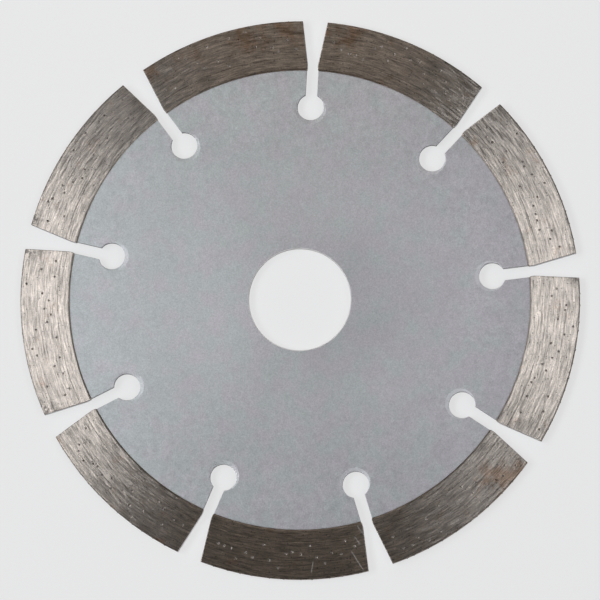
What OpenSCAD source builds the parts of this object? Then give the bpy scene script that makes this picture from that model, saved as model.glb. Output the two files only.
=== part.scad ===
// Segmented diamond blade for dry cutting of masonry and concrete.
// The blade lies flat: +Z is the bore's axis, the origin is the bore's centre at the core's
// mid-plane, and +X runs out through the middle of a slot.

/* [Blade] */
// Outer diameter over the diamond grit at the rim
blade_d = 110; // [105:1:125]
// Number of segments, and of the slots between them
segment_count = 9; // [7:1:12]

/* [Core] */
// Thickness of the steel core
core_t = 1.6; // [1.2:0.1:1.8]
// Diameter of the bore that fits the machine's arbor
bore_d = 20; // [16, 20, 22.23]
// Deburred width of both edges of the bore
bore_chamfer = 0.16; // [0.08:0.02:0.3]
// Width of the slots
slot_w = 2.3; // [1.6:0.1:2.4]
// Diameter of the round hole that ends each slot
keyhole_d = 5.2; // [4:0.1:6]
// Distance from the keyhole's centre in to the seam between core and segment
keyhole_depth = 7.2; // [6:0.2:10]
// Width of the rolled edge at each keyhole, on the punched face, where it is widest: towards the bore
roll_w = 0.8; // [0.4:0.1:1]
// Depth of that rolled edge
roll_h = 0.06; // [0.04:0.02:0.2]

/* [Segments] */
// Radial height of a segment, with its foot
segment_h = 9.8; // [8:0.2:12]
// Thickness of the segments
segment_t = 2.2; // [2:0.1:2.6]
// Radial height of the diamond-free foot
foot_h = 2.4; // [2.2:0.2:3]
// Gap between two neighbouring segments at their feet
foot_gap = 2.04; // [1.2:0.02:2.2]
// Angle at which a segment's ends draw back from the slot's axis
end_flare = 9.55; // [0:0.05:12]
// Size of the bevels where the sides meet the rim
rim_bevel = 0.22; // [0.1:0.02:0.3]

/* [Dovetails] */
// Number of dovetail teeth under each segment
tooth_count = 8; // [5:1:9]
// Height of the teeth
tooth_h = 1; // [0.6:0.1:1.2]
// How far the foot laps over the core below the teeth
lap = 0.5; // [0.4:0.1:0.6]
// Thickness of the toothed rim that the foot holds
tongue_t = 1.4; // [1:0.1:1.5]

/* [Diamond grit] */
// Size of the crystals
grit_size = 0.32; // [0.26:0.02:0.5]
// Number of crystals showing on each side of a segment
side_grit = 14; // [6:1:14]
// Number of empty pockets on each side, which crystals were pulled out of
side_pits = 5; // [2:1:8]
// Number of crystals showing on the rim of a segment
rim_grit = 11; // [6:1:14]
// How far the crystals stand out of the rim
grit_exposure = 0.08; // [0.04:0.01:0.12]

/* [Hidden] */
$fn = 256;
eps = 0.01;
blade_r = blade_d / 2;
pitch = 360 / segment_count;
seam_r = blade_r - segment_h;
keyhole_r = seam_r - keyhole_depth;
foot_r = seam_r + foot_h;
bond_r = blade_r - grit_exposure;
tooth_root_r = seam_r + lap;
tooth_tip_r = tooth_root_r + tooth_h;
proud = (segment_t - core_t) / 2;
flare_start_r = seam_r + 1.1;
corner_cut = 0.3;
// the toothed rim is thinner than the core by at least this much
least_step = 0.1;
// the cone of a rolled edge stays this far inside the keyhole's wall
roll_clear = 0.05;
// the grit keeps these distances from the foot and the rim, and this angle from the segment's ends
foot_clear = 0.5;
rim_clear = 1;
end_clear = 1;
// angle from the middle of a segment to its end, at the foot and at the rim
foot_half = pitch / 2 - asin(foot_gap / 2 / foot_r);
rim_half = pitch / 2 - asin((foot_gap / 2 + (blade_r - flare_start_r) * tan(end_flare)) / blade_r);
tooth_pitch = 2 * foot_half / tooth_count;
tooth_w = tooth_root_r * sin(tooth_pitch) / 2;
tooth_flare = 0.16 * tooth_w;
side_grit_in = foot_r + foot_clear;
side_grit_out = bond_r - rim_clear;

// One dovetail tooth, centred on +X, wider at its tip than at its root
module tooth_outline() {
    polygon([
        [tooth_root_r - lap, -tooth_w / 2],
        [tooth_root_r, -tooth_w / 2],
        [tooth_tip_r + eps, -tooth_w / 2 - tooth_flare],
        [tooth_tip_r + eps, tooth_w / 2 + tooth_flare],
        [tooth_root_r, tooth_w / 2],
        [tooth_root_r - lap, tooth_w / 2]
    ]);
}

// The core's rim under the segment that is centred on +X
module land_teeth() {
    intersection() {
        circle(r = tooth_tip_r);
        for (k = [0:tooth_count - 1]) {
            rotate((k - (tooth_count - 1) / 2) * tooth_pitch) tooth_outline();
        }
    }
}

// A keyhole slot along +X, open at the rim
module slot_outline() {
    translate([keyhole_r, 0]) circle(d = keyhole_d);
    translate([keyhole_r, -slot_w / 2]) square([segment_h + keyhole_depth, slot_w]);
}

module all_slots() {
    for (i = [0:segment_count - 1]) rotate(i * pitch) slot_outline();
}

// The slotted disc, and round it the thinner toothed rim that the feet are sintered around
module slotted_disc() {
    linear_extrude(core_t, center = true) difference() {
        circle(r = seam_r);
        all_slots();
    }
    linear_extrude(min(tongue_t, core_t - least_step), center = true) difference() {
        union() {
            circle(r = tooth_root_r);
            for (i = [0:segment_count - 1]) rotate((i + 0.5) * pitch) land_teeth();
        }
        all_slots();
    }
}

// A cone that widens a hole of radius r by w at its upper edge, h deep
module edge_relief(r, w, h) {
    translate([0, 0, core_t / 2 - h]) cylinder(r1 = r, r2 = r + w, h = h);
    translate([0, 0, core_t / 2]) cylinder(r = r + w, h = eps);
}

// The rolled edge of the keyhole on +X, a crescent that runs out towards the slot
module rolled_edge() {
    inset = roll_w / 2;
    translate([keyhole_r - inset, 0, 0]) {
        edge_relief(keyhole_d / 2 - inset - roll_clear, roll_w + roll_clear, roll_h);
    }
}

module core() {
    color([0.66, 0.68, 0.7]) difference() {
        slotted_disc();
        cylinder(d = bore_d, h = 2 * core_t, center = true);
        edge_relief(bore_d / 2, bore_chamfer, bore_chamfer);
        mirror([0, 0, 1]) edge_relief(bore_d / 2, bore_chamfer, bore_chamfer);
        for (i = [0:segment_count - 1]) rotate(i * pitch) rolled_edge();
    }
}

// One end of a segment, as distance out along the slot beside it and distance from the slot's axis.
// It follows the slot at the foot and draws back from it further out.
end_line = [
    [seam_r - 1, foot_gap / 2 + corner_cut + 1],
    [seam_r, foot_gap / 2 + corner_cut / 2],
    [seam_r + corner_cut, foot_gap / 2],
    [flare_start_r, foot_gap / 2],
    [blade_r + 1, foot_gap / 2 + (blade_r + 1 - flare_start_r) * tan(end_flare)]
];

function turned(p, a) = [p[0] * cos(a) - p[1] * sin(a), p[0] * sin(a) + p[1] * cos(a)];

// The space between two slots that a segment fills, centred on +X
module segment_wedge() {
    last = len(end_line) - 1;
    low_end = [for (p = end_line) turned(p, -pitch / 2)];
    high_end = [for (k = [last:-1:0]) turned([end_line[k][0], -end_line[k][1]], pitch / 2)];
    linear_extrude(2 * segment_t, center = true) {
        polygon(concat([[0, 0]], low_end, [[1.2 * blade_r, 0]], high_end));
    }
}

// The segment's cross-section, turned into a full ring: bevelled at the seam and at the rim
module segment_ring(outer_r) {
    rotate_extrude() polygon([
        [seam_r, -core_t / 2],
        [seam_r + proud, -segment_t / 2],
        [outer_r - rim_bevel, -segment_t / 2],
        [outer_r, -segment_t / 2 + rim_bevel],
        [outer_r, segment_t / 2 - rim_bevel],
        [outer_r - rim_bevel, segment_t / 2],
        [seam_r + proud, segment_t / 2],
        [seam_r, core_t / 2]
    ]);
}

// A whole segment, foot and working layer, centred on +X
module segment_blank(outer_r) {
    intersection() {
        segment_ring(outer_r);
        segment_wedge();
    }
}

// The diamond-free layer that is sintered around the core's teeth
module segment_foot(i) {
    color([0.62, 0.58, 0.52]) rotate((i - 0.5) * pitch) difference() {
        intersection() {
            segment_blank(bond_r);
            cylinder(r = foot_r, h = 2 * segment_t, center = true);
        }
        rotate(-pitch / 2) slotted_disc();
    }
}

// A crystal with cut corners: two cubes turned against each other about their common diagonal
module crystal(turn) {
    rotate(turn) intersection() {
        cube(grit_size, center = true);
        rotate(60, [1, 1, 1]) cube(grit_size, center = true);
    }
}

// Crystal shapes in the side that faces +Z, strewn evenly along the segment and at random across it:
// either those that hold a crystal or those that are empty pockets
module side_crystals(seed, empty) {
    count = side_grit + side_pits;
    across = rands(side_grit_in, side_grit_out, count, seed);
    along = rands(-0.25, 0.25, count, seed + 1);
    turn = rands(0, 360, 3 * count, seed + 2);
    cell = 2 * (rim_half - end_clear) / count;
    for (k = [0:count - 1]) {
        if ((floor((k + 1) * side_pits / count) > floor(k * side_pits / count)) == empty)
            rotate((k + 0.5 + along[k]) * cell - rim_half + end_clear)
            translate([across[k], 0, segment_t / 2 - grit_size / 4])
            crystal([turn[3 * k], turn[3 * k + 1], turn[3 * k + 2]]);
    }
}

// Crystals in the rim
module rim_crystals(seed) {
    height = rands(-0.5, 0.5, rim_grit, seed);
    along = rands(-0.25, 0.25, rim_grit, seed + 1);
    turn = rands(0, 360, 3 * rim_grit, seed + 2);
    cell = 2 * (rim_half - end_clear) / rim_grit;
    for (k = [0:rim_grit - 1]) {
        rotate((k + 0.5 + along[k]) * cell - rim_half + end_clear)
            translate([bond_r - grit_size / 6, 0, height[k] * (segment_t - 3 * grit_size)])
            crystal([turn[3 * k], turn[3 * k + 1], turn[3 * k + 2]]);
    }
}

// Crystal shapes on both sides of segment i
module both_sides(i, empty) {
    side_crystals(100 * i, empty);
    mirror([0, 0, 1]) side_crystals(100 * i + 10, empty);
}

// The working layer: sintered bond with a pocket for each crystal
module segment(i) {
    color([0.52, 0.48, 0.43]) rotate((i - 0.5) * pitch) difference() {
        segment_blank(bond_r);
        cylinder(r = foot_r, h = 2 * segment_t, center = true);
        both_sides(i, true);
        both_sides(i, false);
        rim_crystals(100 * i + 20);
    }
}

// The crystals of segment i, ground flush with its sides and with the blade's outer diameter
module diamond_grit(i) {
    color([0.85, 0.82, 0.6]) rotate((i - 0.5) * pitch) intersection() {
        cylinder(r = blade_r, h = segment_t, center = true);
        union() {
            both_sides(i, false);
            rim_crystals(100 * i + 20);
        }
    }
}

core();
for (i = [1:segment_count]) {
    segment_foot(i);
    segment(i);
    diamond_grit(i);
}
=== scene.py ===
"""Looks for the segmented diamond blade: materials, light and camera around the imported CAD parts."""

import math

import bpy
from mathutils import Matrix, Vector


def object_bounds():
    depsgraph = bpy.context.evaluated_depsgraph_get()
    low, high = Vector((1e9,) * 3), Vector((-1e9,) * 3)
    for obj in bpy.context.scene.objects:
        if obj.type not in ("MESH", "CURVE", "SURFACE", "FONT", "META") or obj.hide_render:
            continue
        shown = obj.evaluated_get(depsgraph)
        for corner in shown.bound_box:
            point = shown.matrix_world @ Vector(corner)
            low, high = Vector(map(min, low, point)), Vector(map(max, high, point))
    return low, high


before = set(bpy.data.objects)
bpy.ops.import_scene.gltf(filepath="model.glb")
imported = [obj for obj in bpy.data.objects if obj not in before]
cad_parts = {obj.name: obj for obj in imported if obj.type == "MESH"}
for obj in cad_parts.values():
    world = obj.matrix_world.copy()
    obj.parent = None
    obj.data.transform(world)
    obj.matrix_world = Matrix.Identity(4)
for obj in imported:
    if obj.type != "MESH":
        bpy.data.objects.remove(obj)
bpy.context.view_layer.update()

# ---- Sizes read from the frame, in metres ----
blade_low, blade_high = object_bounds()
blade_r = max(blade_high.x, blade_high.y)
top_z = blade_high.z
floor_z = blade_low.z
feet = [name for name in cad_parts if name.startswith("segment_foot")]
seam_r = min(v.co.xy.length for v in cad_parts[feet[0]].data.vertices)
mean_r = (seam_r + blade_r) / 2
half_pitch = math.pi / len(feet)

# how far the blade is turned in the picture, where a slot isn't quite level
photo_turn = half_pitch * 0.3385


def direction(azimuth, elevation):
    """A unit vector. Azimuth runs anticlockwise from the picture's right; both are in degrees."""
    a, e = math.radians(azimuth) - photo_turn, math.radians(elevation)
    return Vector((math.cos(e) * math.cos(a), math.cos(e) * math.sin(a), math.sin(e)))


picture_right = direction(0, 0)
picture_up = direction(90, 0)


def rgb(r, g, b):
    return (r, g, b, 1.0)


class Tree:
    """A shader node tree, with one short call for each node."""

    def __init__(self, owner, shader):
        owner.use_nodes = True
        self.owner = owner
        self.nodes = owner.node_tree.nodes
        self.links = owner.node_tree.links
        self.shader = self.nodes[shader]

    def plug(self, value, socket):
        if isinstance(value, bpy.types.NodeSocket):
            self.links.new(value, socket)
        else:
            socket.default_value = value

    def shade(self, **values):
        """Plugs values into the shader's sockets, with _ for the spaces in their names."""
        for name, value in values.items():
            self.plug(value, self.shader.inputs[name.replace("_", " ")])

    def add(self, kind, values=None, output=0, **settings):
        node = self.nodes.new(kind)
        for name, value in settings.items():
            setattr(node, name, value)
        for key, value in (values or {}).items():
            self.plug(value, node.inputs[key])
        return node.outputs[output]

    def math(self, operation, a, b=0.0, c=0.0):
        return self.add("ShaderNodeMath", {0: a, 1: b, 2: c}, operation=operation)

    def times(self, a, b):
        return self.math("MULTIPLY", a, b)

    def vector(self, operation, a, b, output=0):
        return self.add("ShaderNodeVectorMath", {0: a, 1: b}, output, operation=operation)

    def span(self, value, low, high, to_low=0.0, to_high=1.0):
        """Maps low..high to to_low..to_high, clamped."""
        return self.add("ShaderNodeMapRange", {0: value, 1: low, 2: high, 3: to_low, 4: to_high})

    def noise(self, vector, scale, detail, roughness, w):
        """Noise with scale cells to the metre. Each w gives another pattern."""
        values = {"Vector": vector, "W": w, "Scale": scale, "Detail": detail, "Roughness": roughness}
        return self.add("ShaderNodeTexNoise", values, noise_dimensions="4D")

    def mix(self, factor, a, b, blend="MIX"):
        node = self.nodes.new("ShaderNodeMix")
        node.data_type = "RGBA"
        node.blend_type = blend
        for key, value in ((0, factor), (6, a), (7, b)):
            self.plug(value, node.inputs[key])
        return node.outputs[2]

    def xyz(self, x, y, z):
        return self.add("ShaderNodeCombineXYZ", {0: x, 1: y, 2: z})

    def split(self, vector):
        node = self.nodes.new("ShaderNodeSeparateXYZ")
        self.plug(vector, node.inputs[0])
        return node.outputs

    def scaled(self, colour, factor):
        return self.mix(1.0, colour, self.xyz(factor, factor, factor), "MULTIPLY")

    def polar(self):
        """The point in the row frame, its radius, its angle and its height."""
        point = self.add("ShaderNodeTexCoord", output="Object")
        x, y, z = self.split(point)
        radius = self.vector("LENGTH", self.xyz(x, y, 0.0), (0.0, 0.0, 0.0), "Value")
        # measured half a pitch on, so that the jump from 180 to -180 degrees falls in a slot
        forward = (math.cos(half_pitch), -math.sin(half_pitch), 0.0)
        sideways = (math.sin(half_pitch), math.cos(half_pitch), 0.0)
        angle = self.math(
            "ARCTAN2",
            self.vector("DOT_PRODUCT", point, sideways, "Value"),
            self.vector("DOT_PRODUCT", point, forward, "Value"),
        )
        return point, radius, angle, z

    def lay(self, point, sway, stretch):
        """Stretches highlights across marks that run round the blade and sway aside a little."""
        round_axis = self.vector("CROSS_PRODUCT", (0.0, 0.0, 1.0), point)
        outward = self.vector("MULTIPLY", point, self.xyz(sway, sway, 0.0))
        self.shade(Tangent=self.vector("ADD", round_axis, outward))
        self.shade(Anisotropic=stretch, Anisotropic_Rotation=0.25)

    def edges(self, width):
        """A normal that is rounded over at the edges, and how far it has turned: 1 on an edge."""
        rounded = self.add("ShaderNodeBevel", {"Radius": width}, samples=6)
        flat = self.add("ShaderNodeNewGeometry", output="True Normal")
        cosine = self.vector("DOT_PRODUCT", rounded, flat, "Value")
        return rounded, self.span(cosine, 0.995, 0.8)


def material(name):
    return Tree(bpy.data.materials.new(name), "Principled BSDF")


# ---- Finishes: colours ----
bond_colour = rgb(0.55, 0.484, 0.424)
rust_colour = rgb(0.40, 0.25, 0.16)
end_light_colour = rgb(0.70, 0.71, 0.73)
scratch_colour = rgb(0.75, 0.74, 0.72)
paint_colours = rgb(0.511, 0.530, 0.520), rgb(0.540, 0.510, 0.525)
rolled_edge_highlight_colour = rgb(0.80, 0.79, 0.80)
chamfer_bare_and_lit_colour = rgb(0.88, 0.87, 0.86)
slot_wall_shade_colour = rgb(0.14, 0.14, 0.15)
diamond_colours = rgb(0.10, 0.082, 0.07), rgb(0.24, 0.205, 0.175)

# ---- Finishes: widths and depths, in metres ----
bond_edge = 0.00022
core_edge = 0.0001
scratch_core, scratch_edge = 0.00003, 0.00012
mark_depth, grain_depth, pore_depth = 0.00002, 0.000008, 0.000005
flake_depth, mottle_depth = 0.000006, 0.00001
seam_shadow = 0.0003

# ---- Finishes: stretch of the highlights, from 0 for round ones to 1 ----
bond_stretch, paint_stretch = 0.985, 0.14

# ---- Finishes: where rust has started and where the rim is darker, as azimuth and reach ----
rust_places = (
    (8.5, 0.004),
    (80, 0.007),
    (92, 0.007),
    (101, 0.008),
    (112, 0.006),
    (124, 0.004),
    (240, 0.003),
    (318, 0.008),
)
dark_rim_places = (
    (4.5, 0.003),
    (10, 0.002),
    (163, 0.003),
    (168, 0.005),
    (204, 0.004),
    (209, 0.002),
    (324, 0.004),
)
# pale scratches: azimuth and radius of one end, then of the other
scratches = (
    (283.2, 0.0545, 281.6, 0.0505),
    (285.6, 0.0488, 284.2, 0.0458),
    (283.8, 0.0495, 283.0, 0.0478),
    (299.4, 0.0498, 300.2, 0.0493),
    (272.5, 0.0535, 272.9, 0.0515),
)


def near(t, point, places):
    """1 at the given places on the rim, falling to 0 at their reach."""
    most = 0.0
    for azimuth, reach in places:
        away = t.vector("DISTANCE", point, blade_r * direction(azimuth, 0), "Value")
        most = t.math("MAXIMUM", most, t.span(away, reach, 0.4 * reach))
    return most


def scratched(t, point):
    """1 along the pale scratches."""
    flat = t.vector("MULTIPLY", point, (1.0, 1.0, 0.0))
    most = 0.0
    for azimuth, radius, other_azimuth, other_radius in scratches:
        start = radius * direction(azimuth, 0)
        along = other_radius * direction(other_azimuth, 0) - start
        offset = t.vector("SUBTRACT", flat, start)
        share = t.vector("DOT_PRODUCT", offset, along / along.length_squared, "Value")
        reached = t.span(share, 0.0, 1.0)
        nearest = t.vector("MULTIPLY", t.xyz(reached, reached, reached), along)
        away = t.vector("DISTANCE", offset, nearest, "Value")
        most = t.math("MAXIMUM", most, t.span(away, scratch_edge, scratch_core))
    return most


def ground_metal(name):
    """Sintered bond metal, ground on its sides with fine marks that run round the blade."""
    seed = 20.0
    t = material(name)
    point, radius, angle, z = t.polar()
    arc = t.times(angle, mean_r)
    # the marks wander in and out a little, and are 11 times as long as the noise that makes them
    wander = t.noise(t.xyz(t.times(radius, 0.5), t.times(arc, 0.8), z), 300.0, 2.0, 0.5, seed)
    wavy = t.math("MULTIPLY_ADD", wander, 0.0008, radius)
    marks = t.xyz(wavy, t.times(arc, 0.09), z)
    broad = t.noise(marks, 3400.0, 2.0, 0.6, seed + 1)
    fine = t.noise(marks, 7000.0, 2.0, 0.6, seed + 2)
    turn = t.noise(marks, 2800.0, 3.0, 0.65, seed + 3)
    grain = t.noise(point, 5000.0, 2.0, 0.6, seed + 4)
    patch = t.noise(point, 240.0, 3.0, 0.6, seed + 5)
    nick = t.noise(point, 1500.0, 3.0, 0.7, seed + 7)
    streak = t.math("MULTIPLY_ADD", broad, 0.6, t.times(fine, 0.4))

    # small pores, where a crystal or a grain of bond came out
    cells = {"Vector": point, "Scale": 1500.0}
    near_pore = t.add("ShaderNodeTexVoronoi", cells, output="Distance")
    which = t.split(t.add("ShaderNodeTexVoronoi", cells, output="Color"))[0]
    pore = t.times(t.span(near_pore, 0.26, 0.14), t.span(which, 0.5, 0.6))

    # rust in a few places along the rim, and faint brown stains anywhere
    stain = t.noise(point, 330.0, 4.0, 0.7, seed + 6)
    stain = t.math("MULTIPLY_ADD", near(t, point, rust_places), 0.17, stain)
    stain = t.span(stain, 0.59, 0.75, 0.0, 0.65)

    # painted shade on the edges, on the bevel at the rim and in the corner at the seam, and darker
    # spots at a few places on the rim
    rounded, edge = t.edges(bond_edge)
    facing = t.math("ABSOLUTE", t.split(t.add("ShaderNodeTexCoord", output="Normal"))[2])
    rim = t.times(t.span(facing, 0.99, 0.9), t.span(radius, mean_r, blade_r))
    corner = t.times(near(t, point, dark_rim_places), t.span(nick, 0.42, 0.58, 0.0, 0.7))
    edge_shade = t.times(t.math("MAXIMUM", edge, rim), t.span(radius, seam_r + 0.0005, seam_r + 0.0008))
    edge_shade_and_dark_spots = t.times(edge_shade, t.span(nick, 0.35, 0.6, 0.15, 0.7))
    edge_shade_and_dark_spots = t.math("MAXIMUM", edge_shade_and_dark_spots, corner)
    painted_seam_shade = t.span(t.math("MULTIPLY_ADD", nick, 0.0003, radius), seam_r + 0.0006, seam_r + 0.0003)
    # the painted shade in the seam fades out towards picture_up
    upward = t.vector("DOT_PRODUCT", point, picture_up, "Value")
    painted_seam_shade = t.times(painted_seam_shade, t.span(upward, 0.2 * blade_r, 0.6 * blade_r, 0.45, 0.0))

    tone = t.span(streak, 0.35, 0.65, 0.49, 1.51)
    tone = t.times(tone, t.span(grain, 0.3, 0.7, 0.8, 1.2))
    tone = t.times(tone, t.span(patch, 0.3, 0.7, 0.88, 1.12))
    # painted shade: the pores are darkened to half
    tone = t.times(tone, t.span(pore, 0.0, 1.0, 1.0, 0.5))
    tone = t.times(tone, t.math("SUBTRACT", 1.0, t.math("MAXIMUM", edge_shade_and_dark_spots, painted_seam_shade)))
    colour = t.scaled(t.mix(stain, bond_colour, rust_colour), tone)
    scratch = t.times(scratched(t, point), 0.4)
    colour = t.mix(scratch, colour, scratch_colour)
    # painted light: the end walls get a pale, matte colour that stands in for light on them
    normal = t.add("ShaderNodeTexCoord", output="Normal")
    sideways = t.vector("CROSS_PRODUCT", (0.0, 0.0, 1.0), t.vector("NORMALIZE", point, (0.0, 0.0, 0.0)))
    end_on = t.math("ABSOLUTE", t.vector("DOT_PRODUCT", normal, sideways, "Value"))
    from_middle = t.math("PINGPONG", angle, half_pitch)
    pale_end_light = t.times(t.span(end_on, 0.93, 0.96), t.span(facing, 0.1, 0.05))
    pale_end_light = t.times(pale_end_light, t.span(from_middle, 0.8 * half_pitch, 0.82 * half_pitch, 0.0, 0.8))
    colour = t.mix(pale_end_light, colour, end_light_colour)
    t.shade(Base_Color=colour, Metallic=t.math("SUBTRACT", 1.0, t.math("MAXIMUM", scratch, pale_end_light)))
    t.shade(Roughness=t.span(streak, 0.3, 0.7, 0.42, 0.36))
    t.lay(point, t.span(turn, 0.3, 0.7, -0.2, 0.2), bond_stretch)

    height = t.math("MULTIPLY_ADD", grain, grain_depth, t.times(streak, mark_depth))
    height = t.math("MULTIPLY_ADD", pore, -pore_depth, height)
    t.shade(Normal=t.add("ShaderNodeBump", {"Height": height, "Distance": 1.0, "Normal": rounded}))
    return t.owner


def core_paint():
    """Satin silver-grey paint on a punched disc, with a pale bore chamfer that is partly bare steel and
    partly painted light, and painted shade on the slot walls.
    """
    t = material("core_paint")
    point, radius = t.polar()[:2]
    hue = t.noise(point, 260.0, 3.0, 0.6, 1.0)
    cloud = t.noise(point, 90.0, 3.0, 0.55, 2.0)
    mottle = t.noise(point, 900.0, 3.0, 0.65, 3.0)
    flake = t.noise(point, 4200.0, 2.0, 0.6, 4.0)
    # the paint is a little greener towards the left
    hue = t.math("MULTIPLY_ADD", t.vector("DOT_PRODUCT", point, picture_right, "Value"), 2.0, hue)
    colour = t.mix(t.span(hue, 0.38, 0.62), *paint_colours)
    tone = t.span(cloud, 0.3, 0.7, 0.97, 1.03)
    tone = t.times(tone, t.span(mottle, 0.3, 0.7, 0.95, 1.05))
    tone = t.times(tone, t.span(flake, 0.25, 0.75, 0.82, 1.18))
    # painted light: the paint is made up to 8 percent lighter towards the rim
    tone = t.times(tone, t.span(radius, 0.55 * blade_r, 0.8 * blade_r, 1.0, 1.08))
    # and a little darker just to the right of the bore, as painted shade
    beside_bore = t.vector("DISTANCE", point, 0.22 * blade_r * picture_right, "Value")
    tone = t.times(tone, t.span(beside_bore, 0.12 * blade_r, 0.34 * blade_r, 0.88, 1.0))
    tone = t.times(tone, t.span(radius, seam_r - seam_shadow, seam_r - seam_shadow / 6, 1.0, 0.8))
    rounded = t.edges(core_edge)[0]
    facing = t.math("ABSOLUTE", t.split(t.add("ShaderNodeTexCoord", output="Normal"))[2])
    bevel = t.times(t.span(facing, 0.2, 0.5), t.span(facing, 0.95, 0.85))
    wall_shade = t.times(t.span(facing, 0.5, 0.2), t.span(radius, 0.3 * blade_r, 0.35 * blade_r))
    # painted highlight: the rolled edges are painted pale on one side of the blade
    rolled = t.times(t.span(facing, 0.9995, 0.998), t.span(facing, 0.9, 0.95))
    rolled_edge_highlight = t.span(t.vector("DOT_PRODUCT", point, direction(330, 0), "Value"), -0.012, 0.03, 0.0, 0.5)
    colour = t.mix(t.times(rolled, rolled_edge_highlight), t.scaled(colour, tone), rolled_edge_highlight_colour)
    # the bore chamfers are bare steel in a pale matte colour: partly their own colour, partly painted
    # light
    colour = t.mix(t.times(bevel, 0.9), colour, chamfer_bare_and_lit_colour)
    # painted shade: the walls of the slots and holes are dark
    colour = t.mix(wall_shade, colour, slot_wall_shade_colour)
    worn = t.span(radius, 0.2 * blade_r, 0.8 * blade_r, 0.58, 0.43)
    rough = t.math("ADD", worn, t.span(mottle, 0.3, 0.7, -0.03, 0.03))
    t.shade(Base_Color=colour, Metallic=t.span(bevel, 0.0, 1.0, 0.9, 0.1), Roughness=rough)
    t.lay(point, 0.0, paint_stretch)
    height = t.math("MULTIPLY_ADD", flake, flake_depth, t.times(mottle, mottle_depth))
    t.shade(Normal=t.add("ShaderNodeBump", {"Height": height, "Distance": 1.0, "Normal": rounded}))
    return t.owner


def diamond():
    """Synthetic diamond, cloudy and dulled by grinding."""
    t = material("diamond")
    point = t.add("ShaderNodeTexCoord", output="Object")
    tone = t.noise(point, 900.0, 2.0, 0.5, 2.0)
    colour = t.mix(t.span(tone, 0.35, 0.65), *diamond_colours)
    t.shade(Base_Color=colour, IOR=2.4, Specular_IOR_Level=0.15)
    t.shade(Roughness=t.span(tone, 0.3, 0.7, 0.4, 0.6))
    return t.owner


def paint_node(name, coat):
    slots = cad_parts[name].data.materials
    slots.clear()
    slots.append(coat)


coats = {
    "core": core_paint(),
    "segment_foot": ground_metal("foot_metal"),
    "segment": ground_metal("bond_metal"),
    "diamond_grit": diamond(),
}
for node_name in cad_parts:
    paint_node(node_name, coats[node_name.rstrip("0123456789").rstrip("_")])


# ---- Stage: a pale table, three soft boxes and a dim room ----
table_side = 3.0
table_glow = 0.66
backdrop = rgb(0.79, 0.79, 0.79)
walls_foot = rgb(0.78, 0.60, 0.47)
overhead = rgb(0.004, 0.003, 0.0022)


def make_table():
    bpy.ops.mesh.primitive_plane_add(size=table_side, location=(0, 0, floor_z))
    table = bpy.context.object
    table.name = "table"
    t = material("table")
    point = t.add("ShaderNodeTexCoord", output="Object")
    tone = t.noise(point, 60.0, 2.0, 0.5, 0.0)
    t.shade(
        Base_Color=t.mix(tone, rgb(0.2, 0.2, 0.2), rgb(0.21, 0.21, 0.21)),
        Roughness=0.9,
        Specular_IOR_Level=0.1,
        Emission_Color=rgb(1, 1, 1),
        Emission_Strength=table_glow,
    )
    table.data.materials.append(t.owner)


def make_room():
    """Dim overhead and pale along the foot of the walls. Seen directly, it is an even pale backdrop."""
    world = bpy.data.worlds.new("room")
    t = Tree(world, "Background")
    rise = t.split(t.add("ShaderNodeTexCoord", output="Generated"))[2]
    glow = t.mix(t.span(rise, 0.08, 0.25), walls_foot, overhead)
    direct = t.add("ShaderNodeLightPath", output="Is Camera Ray")
    t.shade(Color=t.mix(direct, glow, backdrop))
    bpy.context.scene.world = world


def aim(obj, place, target, up=Vector((0, 0, 1))):
    """Puts a camera or light at place, looking at target."""
    back = (place - target).normalized()
    right = up.cross(back).normalized()
    turn = Matrix((right, back.cross(right), back)).transposed()
    obj.matrix_world = Matrix.Translation(place) @ turn.to_4x4()


def soft_box(name, azimuth, elevation, distance, size, radiance, tint):
    """A rectangular soft light that faces the blade."""
    width, height = size
    lamp = bpy.data.lights.new(name, "AREA")
    lamp.shape = "RECTANGLE"
    lamp.size, lamp.size_y = width, height
    lamp.energy = radiance * math.pi * width * height
    lamp.color = tint
    light = bpy.data.objects.new(name, lamp)
    bpy.context.scene.collection.objects.link(light)
    aim(light, distance * direction(azimuth, elevation), Vector((0, 0, 0)))


make_table()
make_room()
daylight = (0.955, 1.0, 1.06)
warm_light = (1.0, 0.92, 0.84)
soft_box("left_box", 180, 57, distance=1.1, size=(0.76, 0.45), radiance=5.85, tint=daylight)
soft_box("right_box", -12, 62, distance=1.1, size=(0.92, 0.4), radiance=2.3, tint=daylight)
soft_box("far_box", 92, 44, distance=0.24, size=(0.18, 0.15), radiance=0.78, tint=warm_light)
bpy.context.scene.view_settings.view_transform = "Standard"

# ---- Camera: straight above, leaning a little towards the picture's lower right ----
frame_w = 0.1176
camera_distance = 1.2
lean, lean_azimuth = 5.5, -60
aim_right, aim_up = 0.00008, -0.00014
camera_data = bpy.data.cameras.new("camera")
camera_data.sensor_width = 36
camera_data.lens = 36 * camera_distance / frame_w
camera_data.clip_end = 10
camera = bpy.data.objects.new("camera", camera_data)
bpy.context.scene.collection.objects.link(camera)
target = Vector((0, 0, top_z)) + aim_right * picture_right + aim_up * picture_up
aim(camera, target + camera_distance * direction(lean_azimuth, 90 - lean), target, picture_up)
bpy.context.scene.camera = camera
